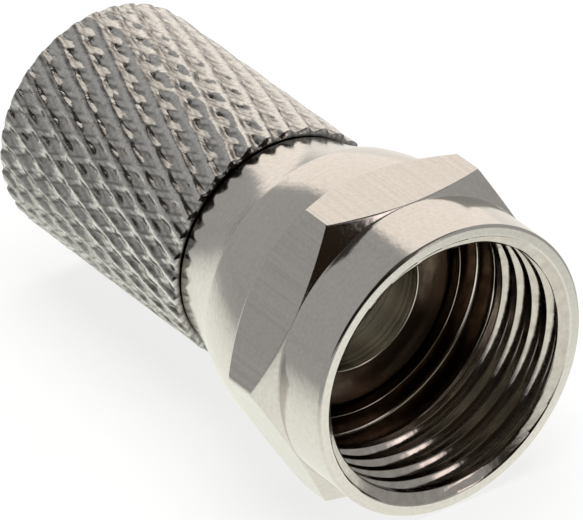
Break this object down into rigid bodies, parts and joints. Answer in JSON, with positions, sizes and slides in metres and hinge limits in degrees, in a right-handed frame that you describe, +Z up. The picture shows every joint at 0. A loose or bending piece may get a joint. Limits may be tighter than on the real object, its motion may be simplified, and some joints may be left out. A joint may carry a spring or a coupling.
{
  "type": "coaxial f connector",
  "caption": "Twist-on coaxial plug: free-turning hexagon coupling nut with a fine inner thread on a diamond-knurled tubular body that screws onto a cable's jacket.",
  "frame": {"origin": "centre of the contact face on the body's front rim, on the connector's axis", "axes": "+X along the connector's axis towards the nut's mouth, +Z up, square to the hexagon's top flat; the connector lies on the opposite flat"},
  "size_m": [0.0193, 0.0118, 0.0104],
  "materials": {
    "body_plating": "nickel plate over machined brass, satin, diamond knurl",
    "nut_plating": "nickel plate over machined brass, semi-gloss, fine turning marks"
  },
  "bodies": {
    "cable_side": {"knurled_body": "body_plating"},
    "nut": {"coupling_nut": "nut_plating"}
  },
  "joints": [
    {"name": "nut_swivel", "type": "hinge", "parent": "cable_side", "child": "nut", "pos_m": [0, 0, 0], "axis": [1, 0, 0], "continuous": true}
  ]
}
